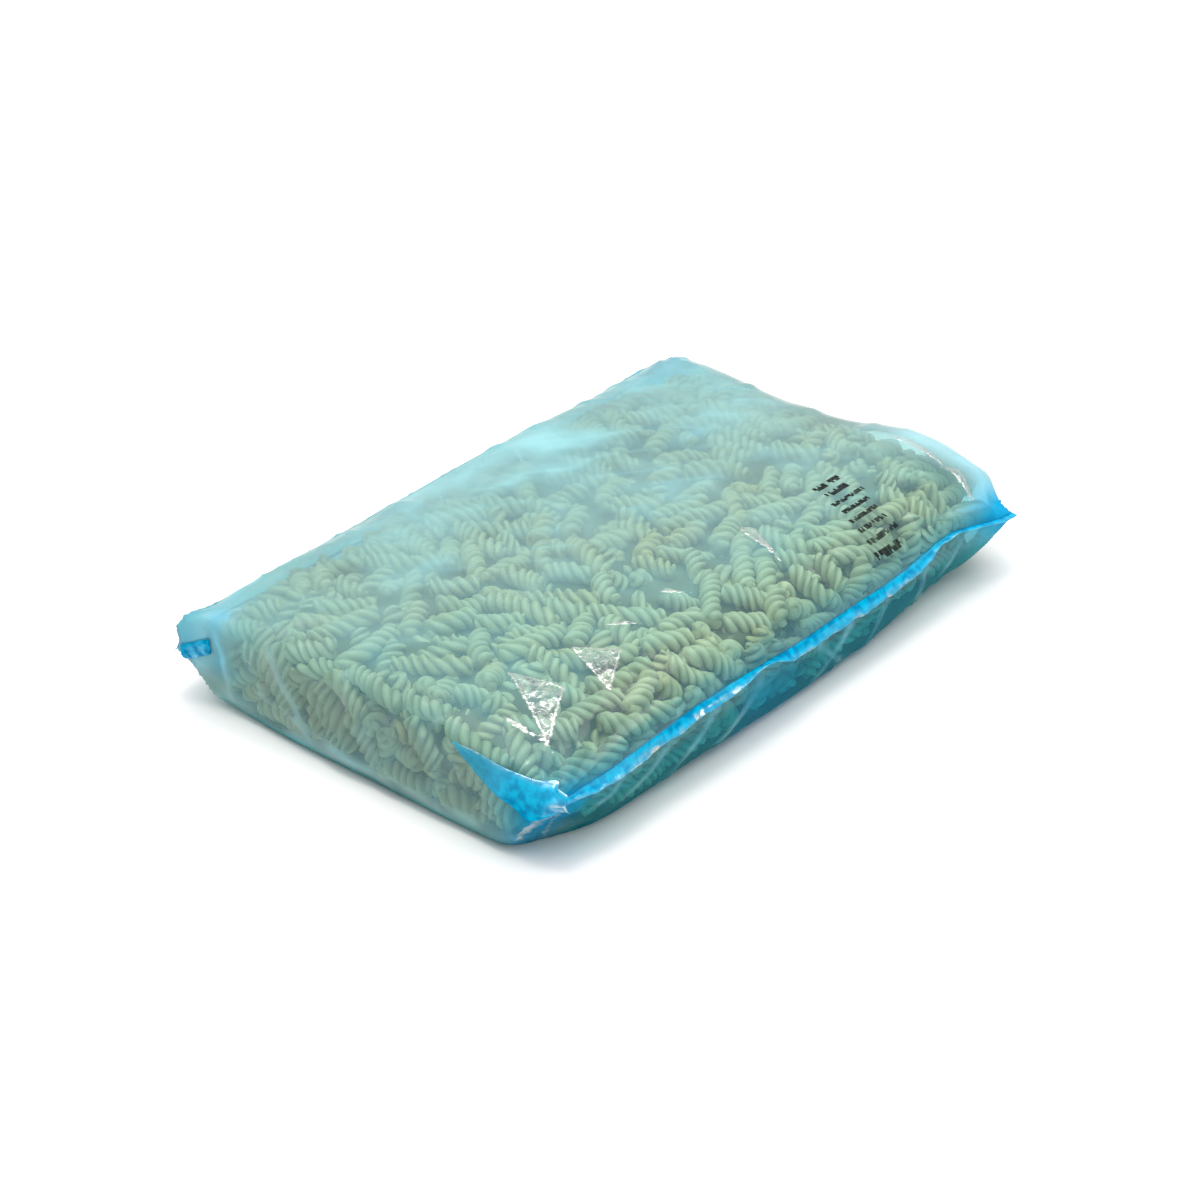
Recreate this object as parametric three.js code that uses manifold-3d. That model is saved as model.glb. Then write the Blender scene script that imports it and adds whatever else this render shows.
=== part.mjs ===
// A catering bag of twisted pasta, lying flat on its side panel.
//
// The bag is a tube of film sealed straight across at both ends, so it is a
// pillow: the two seals run along X at about half height, one in front (-Y)
// and one behind (+Y). Each seal carries a thin fin. At three corners the flat
// end of the tube stands out as an ear. The fourth, at -X in front, is folded
// back against the short side as a three-cornered flap.
//
// Frame: millimetres, +Z up, X along the seals, Y across them. The origin is
// under the middle of the bag, on the surface it lies on.
import * as THREE from "three";
import Module from "manifold-3d";
import { mergeVertices } from "three/addons/utils/BufferGeometryUtils.js";

// Driving dimensions
const BAG = {
  height: 67, // floor to the crown of the filling
  frontSeal: -120, // Y of the seal lines, before the bag is centred
  backSeal: 124,
  frontSealHeight: 38,
  backSealHeight: 37,
  leftReach: 186, // half lengths along X at mid width
  rightReach: 203,
};
const LEAN = 4.5; // how far the -X side runs out of square
const FIN = { width: 9, droop: 4, thickness: 1.2 };
const FLAP = {
  sealEnd: { y: -116, z: 40 }, // corners of the folded ear on the short side
  tip: { y: -60, z: 49 },
  crease: { y: -104, z: 14 },
  sunk: 1.4, // depth of its inner face in the side
  proud: 2.8, // height of its outer face above it
};
const FLOOR_SINK = 10; // the side panel is pressed this far into the floor, and cut flat there

// How squarely the wall bends in the XZ sections. It is boxy where the filling
// is tight against the film, and the two films close to a point at the ears.
const SIDE_POWER = { topLeft: 4, topRight: 4, bottomLeft: 7, bottomRight: 3.5, ear: 2 };
// The same in the YZ section, above each seal and below both.
const END_POWER = { topFront: 3, topBack: 3.5, bottom: 5 };

const RINGS = 34; // sections from seal to seal
const SPOKES = 60; // points round each section
const FIN_RINGS = 2;
const FLAP_STEPS = 8;

const midWidth = (BAG.frontSeal + BAG.backSeal) / 2;
const halfWidth = (BAG.backSeal - BAG.frontSeal) / 2;

// A smooth bump of height 1 at the centre, falling to 0 one spread away.
function bump(v, centre, spread) {
  const t = Math.min(1, Math.abs(v - centre) / spread);
  return (1 + Math.cos(Math.PI * t)) / 2;
}

// A smooth step from 0 at the start to 1 at the end.
function ramp(v, start, end) {
  const t = THREE.MathUtils.clamp((v - start) / (end - start), 0, 1);
  return t * t * (3 - 2 * t);
}

// What is left of a rounded profile at a share of its half span.
function rounded(share, power) {
  const s = Math.min(1, Math.abs(share));
  return Math.pow(1 - Math.pow(s, power), 1 / power);
}

// Below, v runs from -1 at the front seal to 1 at the back one.
function edgeHeight(v) {
  return THREE.MathUtils.lerp(BAG.frontSealHeight, BAG.backSealHeight, (v + 1) / 2);
}

// How far the bag reaches towards -X: tucked in front, an ear behind.
function leftReach(v) {
  const tuckedCorner = 8 * ramp(-v, 0.7, 1);
  const backEar = 5 * ramp(v, 0.8, 1);
  return BAG.leftReach - LEAN * v - tuckedCorner + backEar;
}

// How far it reaches towards +X: a puff of air in front, a full corner behind.
function rightReach(v) {
  const airPuff = 8 * bump(v, -0.42, 0.4);
  const frontEar = 15 * ramp(-v, 0.82, 1);
  const backEar = 6 * ramp(v, 0.7, 1);
  return BAG.rightReach + airPuff - frontEar + backEar;
}

// The wall's height above the seal level, and its depth below it.
function crownRise(v) {
  return (BAG.height - edgeHeight(v)) * rounded(v, v < 0 ? END_POWER.topFront : END_POWER.topBack);
}
function bellyDrop(v) {
  return (edgeHeight(v) + FLOOR_SINK) * rounded(v, END_POWER.bottom);
}

function sidePower(v, onRight, onTop) {
  const corner = (onTop ? "top" : "bottom") + (onRight ? "Right" : "Left");
  return THREE.MathUtils.lerp(SIDE_POWER[corner], SIDE_POWER.ear, ramp(Math.abs(v), 0.82, 1));
}

// The seals stand out at the ears, and wander a little up and down between.
function sealShift(x, v) {
  const hold = v * v * v * v;
  if (v < 0) {
    const pulledOut = 8 * ramp(x, 140, 192);
    const waves = 3.5 * bump(x, -80, 95) + 4 * bump(x, 132, 45);
    return { y: -hold * pulledOut, z: hold * (waves - 2 * ramp(x, 140, 200)) };
  }
  const raisedCorner = 8 * ramp(x, 110, 205);
  const hangingEar = 6 * ramp(-x, 150, 195);
  return { y: 1.5 * hold * Math.sin(x / 37), z: hold * (raisedCorner - hangingEar) };
}

// A point of the wall at v, at angle a round the section seen along +Y.
function wallPoint(v, a) {
  const c = Math.cos(a);
  const s = Math.sin(a);
  const power = sidePower(v, c > 0, s > 0);
  const reach = c > 0 ? rightReach(v) : leftReach(v);
  const half = Math.max(s > 0 ? crownRise(v) : bellyDrop(v), FIN.thickness / 2);
  const x = Math.sign(c) * reach * Math.pow(Math.abs(c), 2 / power);
  const z = edgeHeight(v) + Math.sign(s) * half * Math.pow(Math.abs(s), 2 / power);
  const shift = sealShift(x, v);
  return new THREE.Vector3(x, midWidth + halfWidth * v + shift.y, Math.max(0, z + shift.z));
}

// A point of a fin: the flat end of the tube carried on past its seal.
function finPoint(end, share, a) {
  const p = wallPoint(end, a);
  p.y += end * FIN.width * share;
  p.z -= FIN.droop * share * share;
  return p;
}

// Rings from fin edge to fin edge, closer together near the seals.
function bagRings() {
  const angles = Array.from({ length: SPOKES }, (_, i) => (2 * Math.PI * i) / SPOKES);
  const rings = [];
  for (let i = FIN_RINGS; i > 0; i--) rings.push(angles.map((a) => finPoint(-1, i / FIN_RINGS, a)));
  for (let j = 0; j <= RINGS; j++) {
    const v = Math.sin(Math.PI * (j / RINGS - 0.5));
    rings.push(angles.map((a) => wallPoint(v, a)));
  }
  for (let i = 1; i <= FIN_RINGS; i++) rings.push(angles.map((a) => finPoint(1, i / FIN_RINGS, a)));
  return rings;
}

function indexedGeometry(position, index) {
  return new THREE.BufferGeometry()
    .setAttribute("position", new THREE.Float32BufferAttribute(position, 3))
    .setIndex(index);
}

// Skins rings of equal length into a closed body. Both end rings are thin
// slabs, closed by joining each upper point to the lower one beneath it.
function skin(rings) {
  const count = rings[0].length;
  const index = [];
  const quad = (p, q, r, s) => index.push(p, q, r, p, r, s);
  for (let j = 0; j + 1 < rings.length; j++)
    for (let i = 0; i < count; i++) {
      const n = (i + 1) % count;
      quad(j * count + i, (j + 1) * count + i, (j + 1) * count + n, j * count + n);
    }
  const last = (rings.length - 1) * count;
  for (let i = 0; i < count / 2; i++) {
    const under = (count - i) % count;
    const next = count - i - 1;
    quad(i, i + 1, next, under);
    quad(last + i, last + under, last + next, last + i + 1);
  }
  return indexedGeometry(rings.flat().flatMap((p) => p.toArray()), index);
}

// X of the short side's wall at -X, at a given Y and Z.
function sideWallX(y, z) {
  const v = (y - midWidth) / halfWidth;
  const above = z > edgeHeight(v);
  const half = above ? crownRise(v) : bellyDrop(v);
  return -leftReach(v) * rounded((z - edgeHeight(v)) / half, sidePower(v, false, above));
}

// The folded ear: a thin three-cornered plate that follows the short side.
// Its two faces are grids whose rows fan out from the seal's end.
function flapGeometry() {
  const { sealEnd, tip, crease, sunk, proud } = FLAP;
  const position = [];
  const index = [];
  const rowStart = (row) => (row * (row + 1)) / 2;
  const layer = rowStart(FLAP_STEPS + 1);
  for (const offset of [-proud, sunk])
    for (let row = 0; row <= FLAP_STEPS; row++)
      for (let k = 0; k <= row; k++) {
        const toCrease = k / FLAP_STEPS;
        const toTip = (row - k) / FLAP_STEPS;
        const atSeal = 1 - toCrease - toTip;
        const y = atSeal * sealEnd.y + toTip * tip.y + toCrease * crease.y;
        const z = atSeal * sealEnd.z + toTip * tip.z + toCrease * crease.z;
        position.push(sideWallX(y, z) + offset, y, z);
      }
  const triangle = (p, q, r) => {
    index.push(p, q, r);
    index.push(layer + p, layer + r, layer + q);
  };
  for (let row = 0; row < FLAP_STEPS; row++)
    for (let k = 0; k <= row; k++) {
      triangle(rowStart(row) + k, rowStart(row + 1) + k, rowStart(row + 1) + k + 1);
      if (k < row) triangle(rowStart(row) + k, rowStart(row + 1) + k + 1, rowStart(row) + k + 1);
    }
  const rim = [];
  for (let row = 0; row < FLAP_STEPS; row++) rim.push(rowStart(row));
  for (let k = 0; k < FLAP_STEPS; k++) rim.push(rowStart(FLAP_STEPS) + k);
  for (let row = FLAP_STEPS; row > 0; row--) rim.push(rowStart(row) + row);
  rim.forEach((p, i) => {
    const q = rim[(i + 1) % rim.length];
    index.push(p, layer + p, layer + q, p, layer + q, q);
  });
  return indexedGeometry(position, index);
}

const wasm = await Module();
wasm.setup();

function solidOf(geometry) {
  const merged = mergeVertices(geometry, 1e-3);
  const vertProperties = merged.attributes.position.array;
  const triVerts = new Uint32Array(merged.index.array);
  return new wasm.Manifold(new wasm.Mesh({ numProp: 3, vertProperties, triVerts }));
}

function geometryOf(solid) {
  const mesh = solid.getMesh();
  const geometry = indexedGeometry(mesh.vertProperties, Array.from(mesh.triVerts));
  geometry.computeVertexNormals();
  geometry.computeBoundingBox();
  return geometry;
}

const film = new THREE.MeshStandardMaterial({ color: 0x7fc0c4, roughness: 0.3, metalness: 0 });
const bag = new THREE.Mesh(geometryOf(solidOf(skin(bagRings())).add(solidOf(flapGeometry()))), film);
bag.name = "pasta_bag";

// Centre the bag over the origin.
const middle = bag.geometry.boundingBox.getCenter(new THREE.Vector3());
bag.position.set(-middle.x, -middle.y, 0);

const packet = new THREE.Group();
packet.add(bag);
export default packet;
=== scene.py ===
"""A catering bag of twisted pasta: clear blue film, sealed fins, one folded corner and the pasta inside.

The film repeats the formulas of the CAD solid it replaces, in millimetres and in that solid's own
layout, and is moved onto the solid's box at the end. v runs from -1 at the front seal to 1 at the
back one, and X runs along the seals.
"""
import math

import bmesh
import bpy
import numpy as np
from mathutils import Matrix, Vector
from mathutils.bvhtree import BVHTree


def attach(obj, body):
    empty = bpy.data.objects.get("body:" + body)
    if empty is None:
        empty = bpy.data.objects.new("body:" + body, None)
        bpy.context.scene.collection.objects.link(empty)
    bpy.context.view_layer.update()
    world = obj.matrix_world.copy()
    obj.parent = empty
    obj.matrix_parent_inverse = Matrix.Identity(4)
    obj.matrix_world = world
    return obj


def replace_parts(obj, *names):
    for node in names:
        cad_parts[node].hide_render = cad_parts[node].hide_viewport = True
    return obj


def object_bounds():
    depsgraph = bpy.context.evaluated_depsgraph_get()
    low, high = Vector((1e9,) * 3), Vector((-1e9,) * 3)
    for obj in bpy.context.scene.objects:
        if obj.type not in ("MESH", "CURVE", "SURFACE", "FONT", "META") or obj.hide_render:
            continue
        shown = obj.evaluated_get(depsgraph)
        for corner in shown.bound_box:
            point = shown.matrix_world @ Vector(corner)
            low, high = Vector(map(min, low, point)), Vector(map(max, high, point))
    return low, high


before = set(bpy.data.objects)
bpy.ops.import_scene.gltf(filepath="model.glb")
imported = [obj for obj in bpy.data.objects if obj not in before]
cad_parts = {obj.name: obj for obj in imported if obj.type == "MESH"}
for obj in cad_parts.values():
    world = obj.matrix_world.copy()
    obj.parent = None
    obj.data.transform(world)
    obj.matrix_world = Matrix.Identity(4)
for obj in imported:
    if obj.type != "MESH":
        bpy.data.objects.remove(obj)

CAD_BOX = [list(corner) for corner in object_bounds()]
MM = 0.001
rng = np.random.default_rng(7)

# ---------------- the bag's own sizes, in mm
HEIGHT = 67.0
FRONT_SEAL, BACK_SEAL = -120.0, 124.0
FRONT_SEAL_HEIGHT, BACK_SEAL_HEIGHT = 38.0, 37.0
LEFT_REACH, RIGHT_REACH = 186.0, 203.0
LEAN = 4.5
FLOOR_SINK = 10.0
FIN_WIDTH = 9.0  # how far the solid's flat seals stand out
TOP_LEFT, TOP_RIGHT, BOTTOM_LEFT, BOTTOM_RIGHT, EAR_POWER = 4.0, 4.0, 7.0, 3.5, 2.0
TOP_FRONT, TOP_BACK, BELLY = 3.0, 3.5, 5.0
MID_WIDTH = (FRONT_SEAL + BACK_SEAL) / 2
HALF_WIDTH = (BACK_SEAL - FRONT_SEAL) / 2

# Film mesh: rings from seal to seal and points across each sheet, then the coarser mesh used for packing
RINGS, ACROSS = 190, 180
COARSE_RINGS, COARSE_ACROSS = 44, 48

# Pasta, in mm
PASTA_COUNT = 690
PASTA_RADIUS = 6.3
PASTA_GROOVE = (3.0, 4.1)
PASTA_LENGTH = (20.0, 41.0)
RIDGE_PITCH = (5.0, 6.4)
BLADES = 3
LOBE_ANGLES = np.radians([-60, -43, -16, 16, 43])
PIECE_SIZE = (0.92, 1.03)
RIDGE_SHARPNESS = (0.45, 1.0)  # the lower, the rounder
BLADE_SHARE, WIDEST_BLADE = (0.86, 1.04), 1.06  # each blade's own share of the radius
SWELL = 0.13
MOST_SAG = 3.2
SQUASH = (0.88, 1.0)
TWIST_STEPS = 31
PASTA_PARTS = 5

# Packing: steps of pushing apart, then rounds of adding pieces in gaps that lie FILL_SPACING mm apart
SETTLE_STEPS, RESETTLE_STEPS = 110, 14
FILL_ROUNDS, FILL_EACH, FILL_SPACING = 3, 18, 26
SCATTER_DEPTH = 14.0
LOW, MIDDLE = 3, 30  # heights that part the underside, the sides and the top
CROWDING = (0.6, 1.35, 1.05)  # how thickly pieces are strewn over each of those
CONTACT_SHARE = 0.88  # ridges mesh, so pieces come closer than their full radius
NEIGHBOUR_STEPS, NEIGHBOUR_MARGIN = 12, 6  # steps between searches for neighbours, and how far they look
TURN_DRAG = 30.0  # keeps short pieces from spinning, in square mm
PUSH_APART, PUSH_IN = 0.35, 0.6  # share of an overlap taken up in one step
DRIFT, IDLE_SHARE = 0.08, 0.45  # how fast pieces drift out to the wall, and how many don't
LONGEST_DRIFT, LONGEST_MOVE = 3.0, 4.0
WALL_CLEARANCE = 0.5
TUCK_ROUNDS, END_CLEARANCE, MIDDLE_CLEARANCE = 4, 0.8, 1.6  # drawing pieces in under the finished film
LEAST_CLEARANCE = -0.4  # a piece nearer to the film than this is left out

# The bag's four upper corners, and how much deeper the pasta stays in each
EARS = ((-186, 122, 32), (200, 120, 44), (190, -128, 38), (-180, -119, 38))
EMPTY_EARS = (6, 11, 11, 2)
EAR_REACH = 34
# Stretches of film with less pasta behind: extra depth, then where it starts and is full in X, Y and Z
EMPTY_BANDS = (
    (5, None, (80, 118), (30, 60)),
    (2, (-20, -150), (-30, 60), (50, 64)),
    (12, (160, 198), (-10, -70), (34, 58)),
    (2, (-165, -185), (0, 80), (30, 60)),
)

# Long soft folds: start, end, height and width in mm
FOLDS = (
    ((-183, -45, 60), (-186, -48, 6), 2.6, 3.5),
    ((-183, -52, 58), (-180, -100, 4), 1.8, 4),
    ((-180, 20, 60), (-186, -18, 6), 1.6, 4),
    ((-182, 70, 56), (-184, 36, 6), 1.6, 5),
    ((-183, 100, 45), (-184, 96, 4), 2.2, 3),
    ((-184, -70, 40), (-184, -108, 4), 2.0, 3.5),
    ((-184, 78, 22), (-184, -20, 7), 2.0, 4),
    ((-184, 10, 30), (-184, -64, 6), 1.8, 3.5),
    ((-182, -119, 36), (-179, -115, 2), 4.0, 4),
    ((-130, -120, 36), (-166, -117, 6), 1.8, 3.5),
    ((-96, -120, 34), (-150, -117, 5), 2.0, 4),
    ((-60, -120, 36), (-104, -117, 4), 1.8, 4),
    ((-24, -120, 33), (-66, -117, 5), 2.0, 3.5),
    ((10, -120, 36), (48, -117, 4), 1.6, 3.5),
    ((60, -120, 36), (16, -117, 4), 1.8, 4),
    ((86, -120, 36), (64, -117, 4), 2.2, 3.5),
    ((117, -121, 40), (112, -117, 4), 2.4, 3.5),
    ((152, -120, 40), (128, -117, 4), 2.4, 4),
    ((150, -60, 60), (178, -112, 48), 2.2, 4),
    ((120, -112, 52), (178, -120, 44), 1.8, 3.5),
    ((-176, 108, 54), (-104, 116, 58), 2.0, 5),
)

# Patches crumpled hard enough to glint: corner points on the upper sheet as X and Y
GLINTS = (
    ((-168, -60), (-166, -82), (-169, -108)),
    ((-140, -52), (-133, -81), (-169, -101)),
    ((-106, -63), (-90, -81), (-120, -98)),
    ((-78, -62), (-66, -74), (-70, -66)),
    ((-38, -61), (-27, -73), (-31, -65)),
    ((40, -53), (45, -60), (29, -91)),
    ((179, -52), (183, -62), (172, -98)),
    ((172, -92), (177, -99), (168, -120)),
)

# Bright creases of the near left corner, from the pinch down: start, end and how much each axis counts.
# They are looked for only in front of CREASE_FRONT, in Y.
CREASE_FRONT = -60
CREASE_LINES = (
    ((-177, -120, 34), (-169, -120, 7), (1, 0.1, 1)),
    ((-182, -116, 31), (-182, -104, 9), (0.1, 1, 1)),
)

# Where the film is pushed out or drawn in: centre, move and reach in mm
PULLS = (
    ((192, -74, 50), (4, 0, 4), 38),
    ((-178, -114, 3), (-2, 12, 0), 25),
    ((-186, 100, 6), (3, -2, 0), 26),
)
# Where the upper sheet alone stands up beside a seal
PEAKS = (((-189, 117, 38), (-4, 1, 13), 22), ((196, 78, 56), (2, 0, 4), 34))
# Where the film lies smooth, and how far round
CALM = ((204, 122, 45), 26)


def bump(v, centre, spread):
    """1 at the centre, falling smoothly to 0 at the spread."""
    t = np.minimum(1, np.abs(v - centre) / spread)
    return (1 + np.cos(np.pi * t)) / 2


def ramp(v, start, end):
    """0 up to the start, rising smoothly to 1 at the end, which may lie on either side of the start."""
    t = np.clip((v - start) / (end - start), 0, 1)
    return t * t * (3 - 2 * t)


def slopes(grid, height, *ends):
    """height times a ramp along each of X, Y and Z that has ends given."""
    for axis, pair in enumerate(ends):
        if pair:
            height = height * ramp(grid[..., axis], *pair)
    return height


def bell(away, reach):
    """1 where away is 0, falling to 0 at about twice the reach."""
    return np.exp(-((away / reach) ** 2))


def near(grid, centre, reach):
    """bell round a place."""
    return bell(np.linalg.norm(grid - np.array(centre), axis=-1), reach)


def unit(vectors):
    return vectors / np.linalg.norm(vectors, axis=-1, keepdims=True)


def rounded(share, power):
    """Height of a rounded arch at a share of its half width; a higher power makes it squarer."""
    return (1 - np.minimum(1, np.abs(share)) ** power) ** (1 / power)


def edge_height(v):
    """Height of the bag's widest line."""
    return FRONT_SEAL_HEIGHT + (BACK_SEAL_HEIGHT - FRONT_SEAL_HEIGHT) * (v + 1) / 2


def left_reach(v):
    """How far the bag reaches towards -X."""
    return LEFT_REACH - LEAN * v - 8 * ramp(-v, 0.7, 1) + 5 * ramp(v, 0.8, 1)


def right_reach(v):
    """How far the bag reaches towards +X."""
    return RIGHT_REACH + 8 * bump(v, -0.42, 0.4) - 15 * ramp(-v, 0.82, 1) + 6 * ramp(v, 0.7, 1)


def crown_rise(v):
    """How far the upper sheet stands above the widest line."""
    return (HEIGHT - edge_height(v)) * rounded(v, TOP_FRONT if v < 0 else TOP_BACK)


def belly_drop(v):
    """How far the lower sheet would hang below the widest line without the floor."""
    return (edge_height(v) + FLOOR_SINK) * rounded(v, BELLY)


def seal_shift(x, v):
    """How far the waves of each seal move its film in Y and Z."""
    hold = v**4
    if v < 0:
        waves = 3.5 * bump(x, -80, 95) + 4 * bump(x, 132, 45)
        return -hold * 8 * ramp(x, 140, 192), hold * (waves - 2 * ramp(x, 140, 200))
    return 1.5 * hold * np.sin(x / 37), hold * (8 * ramp(x, 110, 205) - 6 * ramp(-x, 150, 195))


def section(v, top, count):
    """count points at equal steps along one sheet at v, from the +X side to the -X side."""
    t = np.linspace(0, 1, 1501)
    half = np.where(t < 0.5, 2 * t, 2 - 2 * t)
    graded = half**4 / (half**4 + (1 - half) ** 4)
    a = np.where(t < 0.5, graded, 2 - graded) * np.pi / 2
    c, s = np.cos(a), np.abs(np.sin(a))
    closing = ramp(abs(v), 0.82, 1)
    right = (TOP_RIGHT if top else BOTTOM_RIGHT) * (1 - closing) + EAR_POWER * closing
    left = (TOP_LEFT if top else BOTTOM_LEFT) * (1 - closing) + EAR_POWER * closing
    power = np.where(c > 0, right, left)
    reach = np.where(c > 0, right_reach(v), left_reach(v))
    x = np.sign(c) * reach * np.abs(c) ** (2 / power)
    drop = (crown_rise(v) if top else -belly_drop(v)) * s ** (2 / power)
    z = edge_height(v) + drop
    dy, dz = seal_shift(x, v)
    z = np.maximum(0, z + dz)
    y = MID_WIDTH + HALF_WIDTH * v + dy
    along = np.concatenate([[0], np.cumsum(np.hypot(np.diff(x), np.diff(z)))])
    at = np.linspace(0, along[-1], count)
    return np.stack([np.interp(at, along, part) for part in (x, y, z)], 1)


def ring_places(rings):
    """Where each ring lies from seal to seal, closer together near the seals."""
    return np.sin(np.pi * (np.linspace(0, 1, rings) - 0.5))


def bag_grid(rings, across):
    """Rings of the closed film: each is the upper sheet from +X to -X, then the lower one back."""
    grid = []
    for v in ring_places(rings):
        upper = section(v, True, across + 1)
        lower = section(v, False, across + 1)[::-1]
        grid.append(np.concatenate([upper[:-1], lower[:-1]]))
    return np.array(grid)


def grid_faces(rings, around):
    """Four-sided faces between neighbouring rings, each ring closed."""
    j, i = np.meshgrid(np.arange(rings - 1), np.arange(around), indexing="ij")
    n = (i + 1) % around
    corners = [j * around + i, (j + 1) * around + i, (j + 1) * around + n, j * around + n]
    return np.stack(corners, -1).reshape(-1, 4)


def grid_normals(grid):
    """Outward unit normals of a ring grid, point by point."""
    along = np.roll(grid, -1, 1) - np.roll(grid, 1, 1)
    across = np.gradient(grid, axis=0)
    n = np.cross(across, along)
    n /= np.maximum(np.linalg.norm(n, axis=-1, keepdims=True), 1e-9)
    return n


def grid_tree(grid):
    """A search tree of a ring grid's faces."""
    return BVHTree.FromPolygons(grid.reshape(-1, 3).tolist(), grid_faces(*grid.shape[:2]).tolist())


# ---------------- noise
HASH_X, HASH_Y, HASH_Z, HASH_MIX = 374761393, 668265263, 2147483647, 1274126177
HASH_MASK = 0xFFFFFFFF


def lattice(ix, iy, iz, seed):
    """A fixed random value from -1 to 1 for each whole-numbered place."""
    h = (ix * HASH_X + iy * HASH_Y + iz * HASH_Z + seed * HASH_MIX) & HASH_MASK
    h = ((h ^ (h >> 13)) * HASH_MIX) & HASH_MASK
    return ((h ^ (h >> 16)) & 0xFFFF) / 32767.5 - 1


def noise(p, seed=0):
    """Smooth value noise from -1 to 1 at points p of shape (..., 3)."""
    base = np.floor(p).astype(np.int64)
    f = p - base
    f = f * f * f * (f * (f * 6 - 15) + 10)
    total = 0
    for dx in (0, 1):
        for dy in (0, 1):
            for dz in (0, 1):
                weight = 1
                for axis, step in enumerate((dx, dy, dz)):
                    weight = weight * (f[..., axis] if step else 1 - f[..., axis])
                value = lattice(base[..., 0] + dx, base[..., 1] + dy, base[..., 2] + dz, seed)
                total = total + weight * value
    return total


def ridges(p, seed=0):
    """Noise folded into sharp crests: 1 on a crest, falling towards 0 between."""
    return (1 - np.minimum(1, np.abs(noise(p, seed)) * 2.2)) ** 1.5


def place(a, b=0.0, c=0.0):
    """Points for noise from their three parts, each an array or one number."""
    return np.stack(np.broadcast_arrays(a, b, c), -1)


# ---------------- meshes
def centre_shift():
    """The move from the formulas' layout to the CAD's, in mm: both boxes share a centre and a floor."""
    flat = bag_grid(40, 60).reshape(-1, 3)
    lo, hi = flat.min(0), flat.max(0)
    lo[1] -= FIN_WIDTH
    hi[1] += FIN_WIDTH
    low, high = np.array(CAD_BOX[0]) / MM, np.array(CAD_BOX[1]) / MM
    shift = (low + high) / 2 - (lo + hi) / 2
    shift[2] = 0
    return shift


SHIFT = centre_shift()


def make_object(name, points, faces, smooth=True, attributes=None):
    """A mesh object from points in mm; each named attribute gives one value a point."""
    mesh = bpy.data.meshes.new(name)
    placed = (np.asarray(points, float).reshape(-1, 3) + SHIFT) * MM
    mesh.from_pydata(placed.tolist(), [], faces if isinstance(faces, list) else faces.tolist())
    for key, values in (attributes or {}).items():
        layer = mesh.attributes.new(key, "FLOAT", "POINT")
        layer.data.foreach_set("value", np.asarray(values, np.float32).ravel())
    mesh.validate()
    mesh.polygons.foreach_set("use_smooth", [smooth] * len(mesh.polygons))
    ob = bpy.data.objects.new(name, mesh)
    bpy.context.scene.collection.objects.link(ob)
    return ob


def outward(ob):
    """Welds points that coincide and turns every face of a closed mesh to look out."""
    bm = bmesh.new()
    bm.from_mesh(ob.data)
    bmesh.ops.remove_doubles(bm, verts=bm.verts, dist=1e-6)
    bmesh.ops.recalc_face_normals(bm, faces=bm.faces)
    bm.to_mesh(ob.data)
    bm.free()


# ---------------- packing the pasta
def closest_on_segments(c1, d1, h1, c2, d2, h2):
    """How far from their centres the closest points of two sets of segments lie.

    c is a centre, d a direction and h half a length.
    """
    r = c1 - c2
    b = (d1 * d2).sum(1)
    p, q = (d1 * r).sum(1), (d2 * r).sum(1)
    s = np.clip((b * q - p) / np.maximum(1 - b * b, 1e-3), -h1, h1)
    t = np.clip(b * s + q, -h2, h2)
    return np.clip(b * t - p, -h1, h1), t


def straight_half(length):
    """Half of the straight part of a piece, between its rounded ends."""
    return length / 2 - PASTA_RADIUS * 0.7


def capsule_gap(points, pasta, chunk=3000):
    """Distance from each point to the surface of the nearest piece."""
    c, d, length = pasta
    h = straight_half(length)
    out = np.empty(len(points))
    for k in range(0, len(points), chunk):
        rel = points[k : k + chunk, None] - c[None]
        t = np.clip((rel * d).sum(-1), -h, h)
        out[k : k + chunk] = np.linalg.norm(rel - d * t[..., None], axis=-1).min(1) - PASTA_RADIUS
    return out


def empty_depth(grid):
    """How far inside the film the pasta stays, in mm: a little everywhere, more in EARS and EMPTY_BANDS."""
    inset = 1.0 + 0 * grid[..., 0]
    for ear, empty in zip(EARS, EMPTY_EARS):
        inset = inset + empty * near(grid, ear, EAR_REACH)
    for extra, *ends in EMPTY_BANDS:
        inset = inset + slopes(grid, extra, *ends)
    return inset


def pasta_wall(grid):
    """The surface that the pasta fills."""
    return grid - grid_normals(grid) * empty_depth(grid)[..., None]


def scatter_pasta(wall, count):
    """Pieces strewn just inside a wall, lying more or less along it: centres, directions, lengths."""
    faces = grid_faces(*wall.shape[:2])
    corners = wall.reshape(-1, 3)[faces]
    cross = np.cross(corners[:, 2] - corners[:, 0], corners[:, 3] - corners[:, 1])
    area = np.linalg.norm(cross, axis=1)
    height = corners[:, :, 2].mean(1)
    underside, sides, top = CROWDING
    weight = area * np.where(height < LOW, underside, np.where(height < MIDDLE, sides, top))
    pick = rng.choice(len(faces), count, p=weight / weight.sum())
    normal = cross[pick] / area[pick][:, None]
    depth = PASTA_RADIUS + 1 + SCATTER_DEPTH * rng.random(count)
    centre = corners[pick].mean(1) - normal * depth[:, None]
    direction = rng.normal(size=(count, 3))
    flatten = rng.choice([0.0, 0.6, 1.0], (count, 1), p=[0.25, 0.4, 0.35])
    direction -= normal * (direction * normal).sum(1, keepdims=True) * flatten
    return centre, unit(direction), rng.uniform(*PASTA_LENGTH, count)


def wall_push(tree, at, want):
    """For points inside a wall: the outward normal and how much deeper than wanted each one lies."""
    normals = np.empty_like(at)
    spare = np.empty(len(at))
    for k, p in enumerate(at):
        hit, normal, _, _ = tree.find_nearest(p)
        normals[k] = normal
        spare[k] = (np.array(hit) - p) @ normals[k] - want
    return normals, spare


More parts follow.
